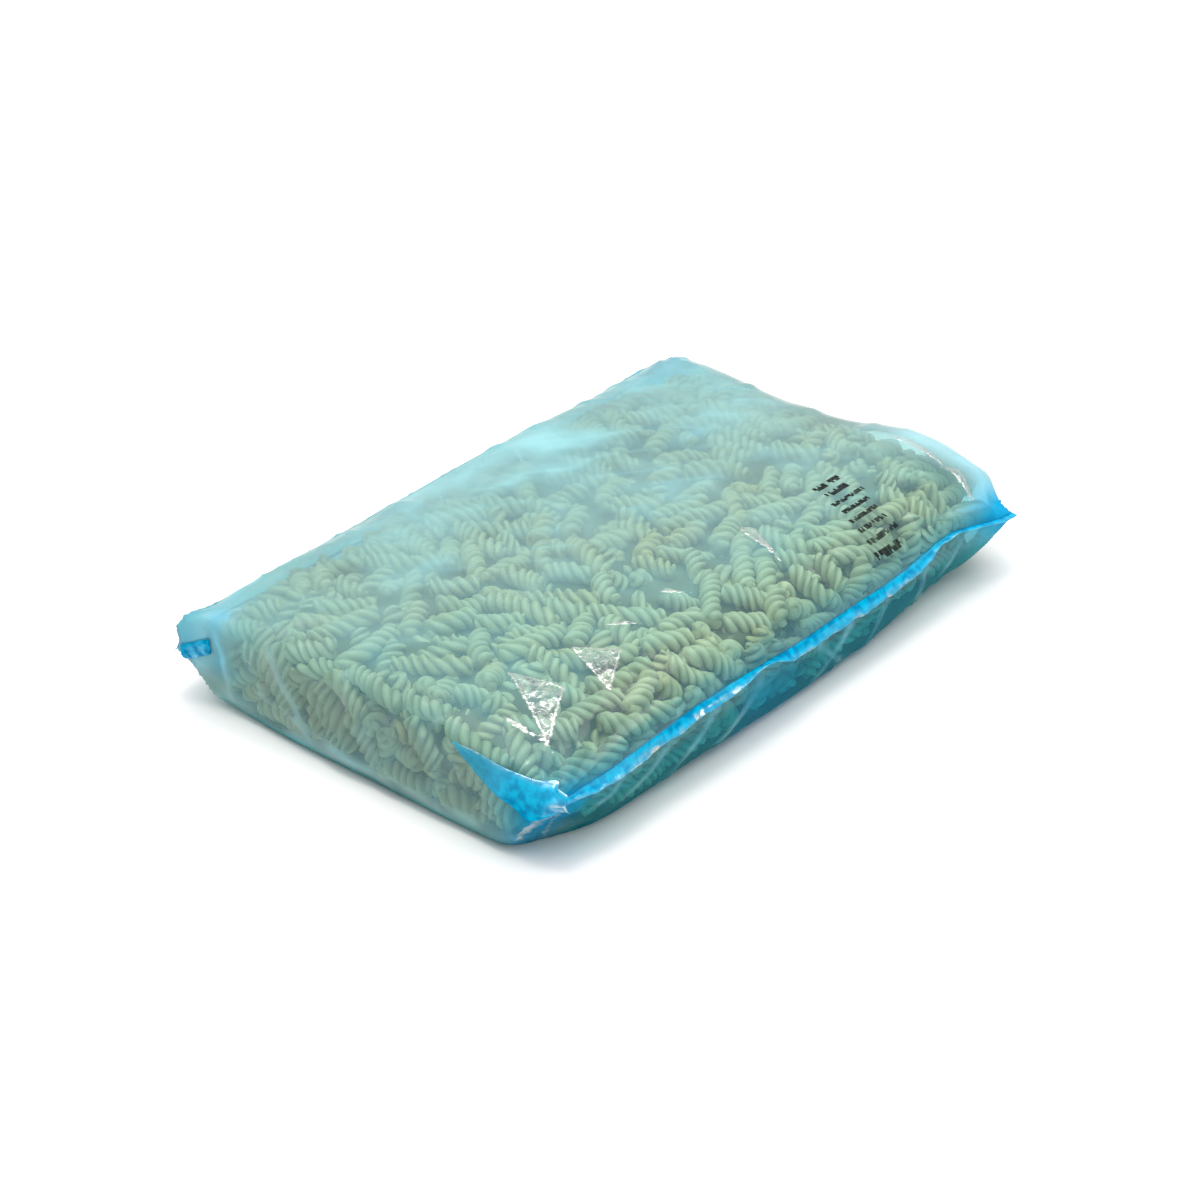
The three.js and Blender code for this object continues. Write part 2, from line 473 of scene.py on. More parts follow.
def relax_pasta(c, d, length, tree, steps):
    """Pushes the pieces apart and out against the wall, as rods that turn as well as move."""
    radius = PASTA_RADIUS * CONTACT_SHARE
    h = length / 2 - radius
    inertia = h**2 + TURN_DRAG
    drift = DRIFT * np.maximum(0, rng.random(len(c)) - IDLE_SHARE)
    ii, jj = np.triu_indices(len(c), 1)
    for step in range(steps):
        if step % NEIGHBOUR_STEPS == 0:
            reach = h[ii] + h[jj] + 2 * radius + NEIGHBOUR_MARGIN
            close = ((c[ii] - c[jj]) ** 2).sum(1) < reach**2
            pi, pj = ii[close], jj[close]
        s, t = closest_on_segments(c[pi], d[pi], h[pi], c[pj], d[pj], h[pj])
        gap = (c[pi] + d[pi] * s[:, None]) - (c[pj] + d[pj] * t[:, None])
        dist = np.maximum(np.linalg.norm(gap, axis=1), 1e-6)
        push = gap * (np.maximum(0, 2 * radius - dist) / dist * PUSH_APART)[:, None]
        move, turn = np.zeros_like(c), np.zeros_like(c)
        np.add.at(move, pi, push)
        np.add.at(move, pj, -push)
        np.add.at(turn, pi, push * (s / inertia[pi])[:, None])
        np.add.at(turn, pj, -push * (t / inertia[pj])[:, None])
        for end in (-1, 0, 1):
            normal, spare = wall_push(tree, c + d * (h * end)[:, None], PASTA_RADIUS + WALL_CLEARANCE)
            out = np.minimum(spare, LONGEST_DRIFT) * (drift if end == 0 else 0)
            fix = np.where(spare < 0, spare * PUSH_IN, out)
            fix = normal * fix[:, None]
            move += fix * (0.5 if end else 1)
            turn += fix * end * (h / inertia)[:, None]
        size = np.maximum(np.linalg.norm(move, axis=1, keepdims=True), 1e-9)
        c = c + move * np.minimum(1, LONGEST_MOVE / size)
        d = unit(d + turn)
    return c, d


def fill_gaps(c, d, length, wall, tree):
    """Adds a piece wherever the wall has none near it, a few at a time."""
    at = wall.reshape(-1, 3)
    for _ in range(FILL_ROUNDS):
        far = capsule_gap(at, (c, d, length))
        more = []
        for _ in range(FILL_EACH):
            k = int(np.argmax(far))
            more.append(k)
            far[np.linalg.norm(at - at[k], axis=1) < FILL_SPACING] = -1
        normal = np.array([tree.find_nearest(p)[1] for p in at[more]])
        across = np.cross(normal, rng.normal(size=(len(more), 3)))
        c = np.concatenate([c, at[more] - normal * (PASTA_RADIUS + 8)])
        d = np.concatenate([d, unit(across)])
        length = np.concatenate([length, rng.uniform(*PASTA_LENGTH, len(more))])
        c, d = relax_pasta(c, d, length, tree, RESETTLE_STEPS)
    return c, d, length


def packed_pasta():
    """Pieces settled against the inside of the film: centres, directions, lengths."""
    wall = pasta_wall(pushed(bag_grid(COARSE_RINGS, COARSE_ACROSS)))
    tree = grid_tree(wall)
    c, d, length = scatter_pasta(wall, PASTA_COUNT)
    c, d = relax_pasta(c, d, length, tree, SETTLE_STEPS)
    return fill_gaps(c, d, length, wall, tree)


def tuck_under(c, d, length, tree):
    """Draws in the ends that would come through the finished film; pieces that still would are left out."""
    for _ in range(TUCK_ROUNDS):
        ends = []
        for end in (-1, 1):
            at = c + d * (length / 2 * end)[:, None]
            normal, spare = wall_push(tree, at, PASTA_RADIUS + END_CLEARANCE)
            ends.append(at + normal * np.minimum(spare, 0)[:, None])
        c = (ends[0] + ends[1]) / 2
        d = unit(ends[1] - ends[0])
        normal, spare = wall_push(tree, c, PASTA_RADIUS + MIDDLE_CLEARANCE)
        c = c + normal * np.minimum(spare, 0)[:, None]
    fits = np.ones(len(c), bool)
    for share in (-0.5, 0, 0.5):
        _, spare = wall_push(tree, c + d * (length * share)[:, None], PASTA_RADIUS)
        fits &= spare > LEAST_CLEARANCE
    return c[fits], d[fits], length[fits]


# ---------------- one twisted piece
def blade_radii(t):
    """Radius at each step and angle of one piece, and how far each angle is up a ridge."""
    size = rng.uniform(*PIECE_SIZE)
    lobe = np.abs(np.cos(BLADES / 2 * np.tile(LOBE_ANGLES, BLADES))) ** rng.uniform(*RIDGE_SHARPNESS)
    groove = rng.uniform(*PASTA_GROOVE)
    swell = 1 + SWELL * np.sin(rng.uniform(3, 9, BLADES) * t[:, None] + rng.uniform(0, 6, BLADES))
    swell = np.minimum(WIDEST_BLADE, swell * rng.uniform(*BLADE_SHARE, BLADES))
    blades = PASTA_RADIUS * np.repeat(swell, len(LOBE_ANGLES), 1)
    return (groove + (blades - groove) * lobe) * size, lobe


def fusillo_faces(around):
    """Faces of one piece: its wound sides, then a fan at each end."""
    j, i = np.meshgrid(np.arange(TWIST_STEPS), np.arange(around), indexing="ij")
    n = (i + 1) % around
    quads = np.stack([j * around + i, j * around + n, (j + 1) * around + n, (j + 1) * around + i], -1)
    i = np.arange(around)
    n = (i + 1) % around
    first, last = (TWIST_STEPS + 1) * around, TWIST_STEPS * around
    caps = np.concatenate([
        np.stack([np.full(around, first), n, i], 1),
        np.stack([np.full(around, first + 1), last + i, last + n], 1),
    ])
    return quads.reshape(-1, 4), caps


def fusillo(centre, direction, length):
    """Points, faces and ridge height of one piece: rounded blades wound round a slightly bent axis."""
    t = np.linspace(-1, 1, TWIST_STEPS + 1)
    radii, lobe = blade_radii(t)
    half_turns = length / (rng.uniform(*RIDGE_PITCH) * BLADES)
    start = rng.uniform(0, 2 * np.pi)
    wind = start + np.pi * half_turns * (t + 0.09 * np.sin(rng.uniform(0, 6) + 3 * t))
    side = unit(np.cross(direction, rng.normal(size=3)))
    up = np.cross(direction, side)
    sag = rng.uniform(0, MOST_SAG)
    axis = centre + direction * (length / 2 * t)[:, None] + side * (sag * (0.5 - t**2))[:, None]
    taper = 1 - 0.16 * np.abs(t) ** 8
    r = radii * (taper * (1 + 0.03 * np.sin(7 * t + rng.uniform(0, 6))))[:, None]
    squash = rng.uniform(*SQUASH)
    angles = np.concatenate([LOBE_ANGLES + 2 * np.pi * b / BLADES for b in range(BLADES)])
    a = angles[None, :] + wind[:, None]
    ring = axis[:, None] + side * (np.cos(a) * r * squash)[..., None] + up * (np.sin(a) * r)[..., None]
    tips = np.array([axis[0] - direction * 0.3, axis[-1] + direction * 0.3])
    points = np.concatenate([ring.reshape(-1, 3), tips])
    ridge = np.concatenate([np.tile(lobe, TWIST_STEPS + 1), [0.5, 0.5]])
    quads, caps = fusillo_faces(len(angles))
    return points, quads, caps, ridge


def pasta_heap(name, pieces):
    """One mesh of many pieces, with each piece's tone, and its ridges for the painted shade in its grooves.
    """
    points, faces, ridge, tone = [], [], [], []
    start = 0
    for c, d, length in pieces:
        p, quads, caps, r = fusillo(c, d, length)
        points.append(p)
        faces += (quads + start).tolist() + (caps + start).tolist()
        ridge.append(r)
        tone.append(np.full(len(p), rng.random()))
        start += len(p)
    looks = {"ridge": np.concatenate(ridge), "tone": np.concatenate(tone)}
    return make_object(name, np.concatenate(points), faces, attributes=looks)


# ---------------- film
def blur(values, passes):
    """Smooths a ring grid's values, closed round each ring and open from seal to seal."""
    for _ in range(passes):
        values = (values + np.roll(values, 1, 1) + np.roll(values, -1, 1)) / 3
        padded = np.concatenate([values[:1], values, values[-1:]])
        values = (padded[:-2] + padded[1:-1] + padded[2:]) / 3
    return values


def line_distance(points, start, end):
    """Distance from a line, and how far along it from 0 to 1."""
    a, b = np.array(start, float), np.array(end, float)
    along = np.clip(((points - a) @ (b - a)) / ((b - a) @ (b - a)), 0, 1)
    return np.linalg.norm(points - (a + along[..., None] * (b - a)), axis=-1), along


def crease(points, start, end, height, width):
    """A sharp fold of film standing up along a line from start to end, in mm."""
    dist, along = line_distance(points, start, end)
    return height * np.sin(np.pi * (0.08 + 0.84 * along)) * np.exp(-((dist / width) ** 1.2))


def patch_depth(x, y, corners):
    """How far inside a triangle given by its corners each point lies, in mm, negative outside."""
    inside = np.full(x.shape, 1e9)
    for k in range(3):
        (x0, y0), (x1, y1), (x2, y2) = corners[k], corners[(k + 1) % 3], corners[(k + 2) % 3]
        nx, ny = y0 - y1, x1 - x0
        length = math.hypot(nx, ny)
        side = math.copysign(1, (x2 - x0) * nx + (y2 - y0) * ny)
        inside = np.minimum(inside, side * ((x - x0) * nx + (y - y0) * ny) / length)
    return inside


def wrinkles(grid, v):
    """How far the film stands off its smooth shape, in mm."""
    x, y, z = np.moveaxis(grid, -1, 0)
    from_seal = HALF_WIDTH * (1 - np.abs(v))[:, None] + np.zeros_like(x)
    wander = 9 * noise(grid / 60, 3)
    gathers = 1.1 * np.exp(-from_seal / 8) * ridges(place((x + wander) / 9, from_seal / 60), 5)
    gathers += 1.8 * np.exp(-from_seal / 22) * ridges(place((x + 2 * wander) / 24, from_seal / 90), 6)
    rays = 0
    for k, ear in enumerate(EARS):
        dx, dy, dz = x - ear[0], y - ear[1], z - ear[2]
        r = np.sqrt(dx**2 + dy**2 + dz**2) + 1e-6
        angle = np.arctan2(dy, dx) + 0.6 * dz / r
        fan = ridges(place(angle * 2.6 + 7 * k, r / 90, dz / r), 11 + k)
        rays = rays + 2.2 * bell(r, 58) * fan
    sides = ramp(np.abs(x), 165, 185) * ramp(z, 2, 12)
    slack = 1.3 * sides * ridges(place((y + 0.7 * z) / 26, (z - 0.5 * y) / 70), 21)
    billow = 1.3 * noise(grid / 60, 31) + 0.35 * noise(grid / 20, 32)
    total = gathers + rays + slack + billow * ramp(from_seal, 0, 14)
    for start, end, height, width in FOLDS:
        total = total + crease(grid, start, end, height, width)
    return total


def pulled(grid, places):
    """The moves of PULLS or PEAKS, added up over a grid."""
    total = np.zeros_like(grid)
    for centre, move, reach in places:
        total += near(grid, centre, reach)[..., None] * np.array(move)
    return total


def pushed(grid):
    """A bag grid moved by PULLS, and by PEAKS on its upper sheet."""
    across = grid.shape[1] // 2
    upper = (np.arange(2 * across) < across) * ramp(1 - np.abs(ring_places(len(grid))), 0, 0.04)[:, None]
    return grid + pulled(grid, PULLS) + pulled(grid, PEAKS) * upper[..., None]


def close_ends(grid):
    """Brings the two sheets together in the first and the last ring."""
    partner = -np.arange(grid.shape[1]) % grid.shape[1]
    closed = grid.copy()
    for ring in (0, -1):
        closed[ring] = (grid[ring] + grid[ring][partner]) / 2
    return closed


def glint_depth(grid):
    """How far inside the nearest glinting patch or crease each point lies, in mm."""
    outside = -20.0
    depth = np.full(grid.shape[:2], outside)
    for corners in GLINTS:
        depth = np.maximum(depth, patch_depth(grid[..., 0], grid[..., 1], corners))
    depth[:, ACROSS:] = outside
    for start, end, weights in CREASE_LINES:
        out_of_reach = np.where(grid[..., 1:2] < CREASE_FRONT, 0, 1000)
        flat = grid * weights + out_of_reach
        away, _ = line_distance(flat, np.multiply(start, weights), np.multiply(end, weights))
        depth = np.maximum(depth, 0.6 - 0.5 * away)
    return depth


def drawn_in(smooth, v, pasta):
    """How far the film moves along its normals to lie on the pasta, in mm."""
    free = capsule_gap(pushed(smooth).reshape(-1, 3), pasta).reshape(smooth.shape[:2])
    y, z = smooth[..., 1], smooth[..., 2]
    slack = 1 - 0.85 * ramp(z, 14, 3)
    slack = slack * (1 - 0.8 * ramp(y, -98, -108) * ramp(z, 38, 28))
    pull = -np.clip(free - 0.5, -3, 2.0) * slack
    offset = np.maximum(blur(pull, 22), blur(-free + 0.3, 3)) * slack
    return np.minimum(offset, 0.6 + 6 * ramp(1 - np.abs(v), 0.02, 0.16)[:, None])


def film_surface(smooth, v, pasta, glint):
    """The finished film: drawn in over the pasta, folded, crumpled and pushed."""
    crumple = (1.1 * ridges(smooth / 7, 61) + 0.5 * noise(smooth / 3, 62)) * ramp(glint, -1, 1.2)
    stand = wrinkles(smooth, v) * 0.85 + crumple
    stand = stand * (1 - 0.75 * ramp(smooth[..., 2], 9, 1))
    loose = ramp(1 - np.abs(v), 0, 0.06)[:, None]
    calm = 1 - 0.85 * near(smooth, *CALM)
    move = (drawn_in(smooth, v, pasta) * loose + stand * (0.3 + 0.7 * loose)) * calm
    points = smooth + grid_normals(smooth) * move[..., None]
    points = points + pushed(smooth) - smooth
    points[..., 2] = np.maximum(points[..., 2], 0.0)
    return close_ends(points)


# ---------------- the film's tints with its painted light and shade, point by point: strengths from 0 to 1, places in mm
def folded_corner(points, smooth):
    """How far each point belongs to the folded near left corner."""
    away = np.hypot(smooth[..., 0] + 180, smooth[..., 1] + 116)
    return slopes(points, bell(away, 24) * ramp(points[..., 2], 36, 24), (-152, -170))


def painted_fold_highlights(smooth):
    """Painted highlight along the crest of each of FOLDS: how far each point lies on it."""
    fold_highlight = np.zeros(smooth.shape[:2])
    for start, end, _, width in FOLDS:
        away, along = line_distance(smooth, start, end)
        crest = bell(away, 0.55 * width)
        fold_highlight = np.maximum(fold_highlight, np.sin(np.pi * along) ** 0.6 * crest)
    return fold_highlight * (0.75 + 0.5 * noise(smooth / 11, 93))


def azure(points, v, corner, left_ear):
    """The film's strong blue: at the seals, the corners, the foot of the front and a patch above it."""
    x, y, z = np.moveaxis(points, -1, 0)
    ear_far = np.min([np.linalg.norm(points - np.array(ear), axis=-1) for ear in EARS], axis=0)
    ears = 0.36 * bell(ear_far, 13) + 0.36 * bell(ear_far, 32) * ramp(z, 12, 26)
    seals = np.exp(-HALF_WIDTH * (1 - np.abs(v)) / 2.5)[:, None]
    front_patch = 0.3 * ramp(-np.abs(x + 20), -36, -12) * ramp(z, 40, 24)
    front = ramp(y, -104, -116) * (0.55 * ramp(z, 8, 2) + front_patch)
    band = bell(y + 122, 9) * ramp(x, 140, 176) * ramp(z, 34, 38)
    dense = np.clip(ears + 0.4 * seals + 0.9 * corner + 0.45 * band + front, 0, 1)
    ear_patch = 0.3 * bell(y - 101, 5) * ramp(x, -168, -178) * ramp(z, 14, 28)
    return np.clip(dense * (1 - 0.45 * left_ear) + ear_patch, 0, 1)


def teal(points, fold_highlight):
    """Painted shade as a darker teal, partly the tint of film gathered there: round the foot, under the
    front seal and along the far edge, less on fold crests.
    """
    x, y, z = np.moveaxis(points, -1, 0)
    rim = np.maximum(ramp(np.abs(y - MID_WIDTH), 85, 110), ramp(np.abs(x), 160, 182))
    foot = rim * ramp(z, 8, 0)
    front = slopes(points, 0.72, None, (-98, -112), (38, 22))
    far_edge = slopes(points, 0.5, None, (103, 119), (24, 38))
    return np.maximum(np.clip(foot + front, 0, 1), far_edge) * (1 - 0.75 * fold_highlight)


def haze(points, smooth, corner, fold_highlight):
    """The film's milkiness and painted light: most at the top's far edge, partly as painted sheen, with
    wisps, painted highlights on fold crests and a pale left foot.
    """
    x, y, z = np.moveaxis(points, -1, 0)
    # Milkier towards the far edge: partly milky film, partly painted sheen of film seen at a grazing angle
    far_haze = 0.31 * ramp(y, -70, 100) * (0.35 + 0.65 * ramp(x, -165, -60))
    veil_and_painted_light = ramp(z, 34, 58) * (0.09 + 0.14 * ramp(x, -120, 60) + far_haze)
    wisps = ridges(place((x + 1.2 * y) / 19, (y - 0.5 * x) / 48, z / 40), 95)
    wisps = wisps * ramp(noise(points / 30, 96), -0.3, 0.5)
    veil_and_painted_light = veil_and_painted_light * (0.92 + 0.4 * wisps) * (1 - 0.8 * ramp(y, -60, -100))
    veil_and_painted_light = veil_and_painted_light + 0.013 * (empty_depth(smooth) - 1) * ramp(z, 26, 40)
    foot = ramp(x, -150, -172) * ramp(z, 17, 7) * ramp(z, 0.5, 3) * (1 - corner)
    veil_and_painted_light = veil_and_painted_light + 0.42 * foot * (0.6 + 0.6 * noise(place(y / 16, z / 5), 91))
    # Fold crests lighter: painted highlight
    return veil_and_painted_light + slopes(points, 0.05, (-160, -178), None, (52, 34)) + 0.5 * fold_highlight


def film_looks(points, smooth, v, pasta, glint):
    """The values that the film's material reads, point by point."""
    gap = np.maximum(0, capsule_gap(points.reshape(-1, 3), pasta)).reshape(smooth.shape[:2])
    corner = folded_corner(points, smooth)
    fold_highlight = painted_fold_highlights(smooth)
    left_ear = near(smooth, EARS[0], 22)
    # Painted light: the empty ears made paler and milkier, as lit through from the white floor behind them
    right_ear = slopes(points, 1, (166, 192), (-10, -70), (34, 50))
    return {
        "gap": gap * (1 - ramp(smooth[..., 1], -84, -104)),
        "dense": azure(points, v, corner, left_ear),
        "teal_shade": teal(points, fold_highlight),
        "glint": glint,
        "veil_and_painted_light": haze(points, smooth, corner, fold_highlight) + 0.27 * right_ear + 0.2 * left_ear,
        "bright": np.maximum(right_ear, left_ear),
    }


# ---------------- materials
class Shader:
    """Short names for making and joining one material's nodes."""

    def __init__(self, name):
        self.material = bpy.data.materials.new(name)
        self.material.use_nodes = True
        self.nodes = self.material.node_tree.nodes
        self.nodes.clear()
        self.links = self.material.node_tree.links

    def put(self, socket, value):
        if isinstance(value, bpy.types.NodeSocket):
            self.links.new(value, socket)
        else:
            socket.default_value = value

    def add(self, kind, inputs=None, **settings):
        n = self.nodes.new("ShaderNode" + kind)
        for key, value in settings.items():
            setattr(n, key, value)
        for key, value in (inputs or {}).items():
            self.put(n.inputs[key], value)
        return n

    def attribute(self, name):
        return self.add("Attribute", attribute_name=name).outputs["Fac"]

    def noise(self, scale, detail=4):
        spot = self.add("TexCoord").outputs["Object"]
        return self.add("TexNoise", {"Vector": spot, "Scale": scale, "Detail": detail}).outputs["Fac"]

    def spread(self, value, low, high, to_low=0.0, to_high=1.0):
        ends = {"Value": value, "From Min": low, "From Max": high, "To Min": to_low, "To Max": to_high}
        return self.add("MapRange", ends).outputs["Result"]

    def maths(self, operation, *values):
        return self.add("Math", dict(enumerate(values)), operation=operation).outputs[0]

    def blend(self, factor, low, high, mode="MIX"):
        mix = self.add("Mix", data_type="RGBA", blend_type=mode)
        for key, value in (("Factor", factor), ("A", low), ("B", high)):
            self.put(next(s for s in mix.inputs if s.name == key and s.enabled), value)
        return next(s for s in mix.outputs if s.enabled)

    def bump(self, height, strength, distance):
        settings = {"Height": height, "Strength": strength, "Distance": distance}
        return self.add("Bump", settings).outputs["Normal"]

    def mix(self, factor, first, second):
        return self.add("MixShader", {0: factor, 1: first, 2: second}).outputs[0]

    def finish(self, surface):
        self.add("OutputMaterial", {"Surface": surface})
        return self.material


# Film colours, each for light passing through (tint) and for the milky part (haze)
# The dark teal tint and haze are painted shade
CLEAR_TINT, DENSE_TINT, TEAL_SHADE_TINT = (0.64, 0.82, 0.78, 1), (0.04, 0.50, 0.76, 1), (0.08, 0.50, 0.53, 1)
CLEAR_HAZE, DENSE_HAZE, TEAL_SHADE_HAZE = (0.26, 0.80, 0.86, 1), (0.01, 0.42, 0.76, 1), (0.0, 0.38, 0.44, 1)
# The brightest haze is painted light on the empty ears
PALE_HAZE, FAR_HAZE, EAR_LIGHT_HAZE = (0.33, 0.66, 0.67, 1), (0.27, 0.59, 0.63, 1), (0.42, 0.78, 0.86, 1)
LEAST_HAZE = 0.055
GLINT = (0.92, 0.88, 0.78, 1)

# Sealed film, pasta, ink and floor colours; the pasta's groove colour is painted shade, and so is the
# darkness of the core's colour, the pasta deeper in
SEAL_CLEAR, SEAL_TINT = (0.55, 0.86, 0.95, 1), (0.03, 0.55, 0.84, 1)
SEAL_LIGHT, SEAL_DARK, SEAL_BLUE = (0.10, 0.62, 0.86, 1), (0.0, 0.21, 0.43, 1), (0.0, 0.41, 0.67, 1)
PASTA_GROOVE_SHADE, PASTA_RIDGE_COLOUR = (0.42, 0.36, 0.21, 1), (0.98, 0.88, 0.64, 1)
PASTA_DULL, PASTA_WARM, WHITE = (0.80, 0.78, 0.72, 1), (1.0, 0.86, 0.68, 1), (1, 1, 1, 1)
SHADED_PASTA_COLOUR, INK_COLOUR, FLOOR_COLOUR = (0.26, 0.21, 0.12), (0.008, 0.012, 0.014), (0.9, 0.9, 0.9)


def haze_colour(s, dense, teal_shade, veil_and_painted_light):
    """The milky part's colour: from clear film through pale and far haze, then the ears' painted light, the
    painted teal shade or azure.
    """
    pale = s.blend(s.spread(veil_and_painted_light, 0.05, 0.25), CLEAR_HAZE, PALE_HAZE)
    far = s.blend(s.spread(veil_and_painted_light, 0.30, 0.50), pale, FAR_HAZE)
    # Paler on the ears as painted light, then dark teal as painted shade
    bright = s.blend(s.attribute("bright"), far, EAR_LIGHT_HAZE)
    return s.blend(dense, s.blend(teal_shade, bright, TEAL_SHADE_HAZE), DENSE_HAZE)


def haze_amount(s, dense, teal_shade, veil_and_painted_light):
    """How much of the film is milky: more over gaps, in the veil with its painted light, where it is
    strongly coloured and in the painted teal shade.
    """
    amount = s.spread(s.attribute("gap"), 0.5, 9.0, LEAST_HAZE, LEAST_HAZE + 0.10)
    cloudy = s.maths("MULTIPLY", veil_and_painted_light, s.spread(s.noise(16), 0.3, 0.7, 0.55, 1.35))
    coloured_or_shaded = s.maths("MAXIMUM", s.maths("MULTIPLY", dense, 0.34), s.maths("MULTIPLY", teal_shade, 0.25))
    return s.maths("ADD", s.maths("ADD", amount, cloudy), coloured_or_shaded)


def glint_strength(s, depth, inside):
    """How strongly the crumpled patches shine: on their edges, and on crests inside them."""
    from_edge = s.maths("ABSOLUTE", s.maths("SUBTRACT", depth, 0.5))
    edge = s.spread(from_edge, 0.1, 0.9, 0.62, 0)
    from_crest = s.maths("ABSOLUTE", s.maths("SUBTRACT", s.noise(210, 3), 0.5))
    crests = s.spread(from_crest, 0, 0.07, 0.45, 0.10)
    return s.maths("MAXIMUM", edge, s.maths("MULTIPLY", inside, crests))


def film_material():
    s = Shader("blue_film")
    dense, teal_shade, glint, veil_and_painted_light = [s.attribute(name) for name in ("dense", "teal_shade", "glint", "veil_and_painted_light")]
    # A darker teal tint where the teal shade lies: painted shade
    tint = s.blend(dense, s.blend(teal_shade, CLEAR_TINT, TEAL_SHADE_TINT), DENSE_TINT)
    clear = s.add("BsdfTransparent", {"Color": tint}).outputs[0]
    crackle = s.noise(380, 2)
    depth = s.maths("ADD", glint, s.spread(crackle, 0.3, 0.7, -0.5, 0.5))
    inside = s.spread(depth, -0.4, 0.4)
    relief = s.maths("MULTIPLY_ADD", s.maths("MULTIPLY", inside, crackle), 5.0, s.noise(170, 3))
    crumple = s.bump(relief, 0.25, 0.0005)
    milk = {"Base Color": haze_colour(s, dense, teal_shade, veil_and_painted_light), "Roughness": 0.5, "Specular IOR Level": 0.0}
    milky = s.add("BsdfPrincipled", {**milk, "Normal": crumple}).outputs[0]
    body = s.mix(haze_amount(s, dense, teal_shade, veil_and_painted_light), clear, milky)
    sheen = s.add("BsdfGlossy", {"Roughness": 0.4, "Normal": crumple}).outputs[0]
    shine = s.add("BsdfGlossy", {"Color": GLINT, "Roughness": 0.1, "Normal": crumple}).outputs[0]
    fresnel = s.add("Fresnel", {"IOR": 1.5, "Normal": crumple}).outputs[0]
    dulled = s.spread(s.maths("MAXIMUM", dense, teal_shade), 0, 0.7, 1.0, 0.1)
    strength = s.maths("ADD", glint_strength(s, depth, inside), s.maths("MULTIPLY", fresnel, dulled))
    return s.finish(s.mix(strength, body, s.mix(0.5, sheen, shine)))


def seal_material():
    s = Shader("sealed_film")
    dense, glint = s.attribute("dense"), s.attribute("glint")
    clear = s.add("BsdfTransparent", {"Color": s.blend(dense, SEAL_CLEAR, SEAL_TINT)}).outputs[0]
    cloud = s.noise(230, 6)
    strong = s.blend(s.spread(cloud, 0.40, 0.60), SEAL_DARK, SEAL_BLUE)
    relief = s.bump(s.maths("MULTIPLY_ADD", glint, s.noise(500, 2), cloud), 0.5, 0.0008)
    surface = {"Base Color": s.blend(dense, SEAL_LIGHT, strong), "Roughness": 0.35}
    blue = s.add("BsdfPrincipled", {**surface, "Specular IOR Level": 0.0, "Normal": relief}).outputs[0]
    body = s.mix(s.spread(dense, 0, 0.8, 0.16, 0.97), clear, blue)
    shine = s.add("BsdfGlossy", {"Color": GLINT, "Roughness": 0.12, "Normal": relief}).outputs[0]
    strength = s.maths("MULTIPLY", glint, s.spread(cloud, 0.42, 0.58, 0.15, 0.9))
    return s.finish(s.mix(strength, body, shine))


def pasta_material():
    s = Shader("cooked_pasta")
    speckle, tone = s.noise(260), s.attribute("tone")
    # Darker towards the grooves: painted shade
    shade = s.blend(s.attribute("ridge"), PASTA_GROOVE_SHADE, PASTA_RIDGE_COLOUR)
    vary = s.maths("MULTIPLY_ADD", speckle, 0.5, s.maths("MULTIPLY", tone, 0.6))
    colour = s.blend(1.0, shade, s.blend(vary, PASTA_DULL, WHITE), "MULTIPLY")
    colour = s.blend(s.spread(tone, 0.6, 1.0), colour, PASTA_WARM, "MULTIPLY")
    surface = {"Base Color": colour, "Roughness": 0.45, "IOR": 1.45, "Normal": s.bump(speckle, 0.2, 0.0003)}
    return s.finish(s.add("BsdfPrincipled", surface).outputs[0])


def plain_material(name, colour, roughness, grain=None):
    """An even colour, or one mottled by noise of the scale given as grain."""
    s = Shader(name)
    base = (*colour, 1)
    if grain:
        base = s.blend(s.noise(grain), tuple(0.6 * c for c in colour) + (1,), base)
    surface = {"Base Color": base, "Roughness": roughness, "Specular IOR Level": 0.2}
    return s.finish(s.add("BsdfPrincipled", surface).outputs[0])


# ---------------- film and pasta
CORE_RINGS, CORE_ACROSS = 60, 60
CORE_MIDDLE, CORE_SCALE = np.array([9.0, 2.0, 30.0]), np.array([0.91, 0.85, 0.60])

smooth_film = bag_grid(RINGS, ACROSS)
ring_v = ring_places(RINGS)
packed = packed_pasta()
glint = glint_depth(smooth_film)
film_points = film_surface(smooth_film, ring_v, packed, glint)
film_tree = grid_tree(film_points)
pasta = tuck_under(*packed, film_tree)

looks = film_looks(film_points, smooth_film, ring_v, pasta, glint)
film = make_object("film", film_points, grid_faces(*film_points.shape[:2]), attributes=looks)
outward(film)
film.data.materials.append(film_material())


def pasta_heaps():
    """All the pieces in heaps of equal number, from the lowest up."""
    centres, directions, lengths = pasta
    look = pasta_material()
    for k, group in enumerate(np.array_split(np.argsort(centres[:, 2]), PASTA_PARTS)):
        heap = pasta_heap(f"pasta_{k + 1}", [(centres[i], directions[i], lengths[i]) for i in group])
        heap.data.materials.append(look)
        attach(heap, "root")


def pasta_core():
    """A lumpy body that fills the middle of the bag behind the outer pieces, dark as painted shade of the
    pasta deeper in.
    """
    shape = bag_grid(CORE_RINGS, CORE_ACROSS)
    points = CORE_MIDDLE + (shape - CORE_MIDDLE) * CORE_SCALE
    points = close_ends(points + grid_normals(shape) * (3 * noise(points / 9, 71))[..., None])
    core = make_object("pasta_depth_in_shade", points, grid_faces(*shape.shape[:2]))
    outward(core)
    core.data.materials.append(plain_material("pasta_depth_in_shade", SHADED_PASTA_COLOUR, 0.7, 90))
    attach(core, "root")


pasta_heaps()
pasta_core()

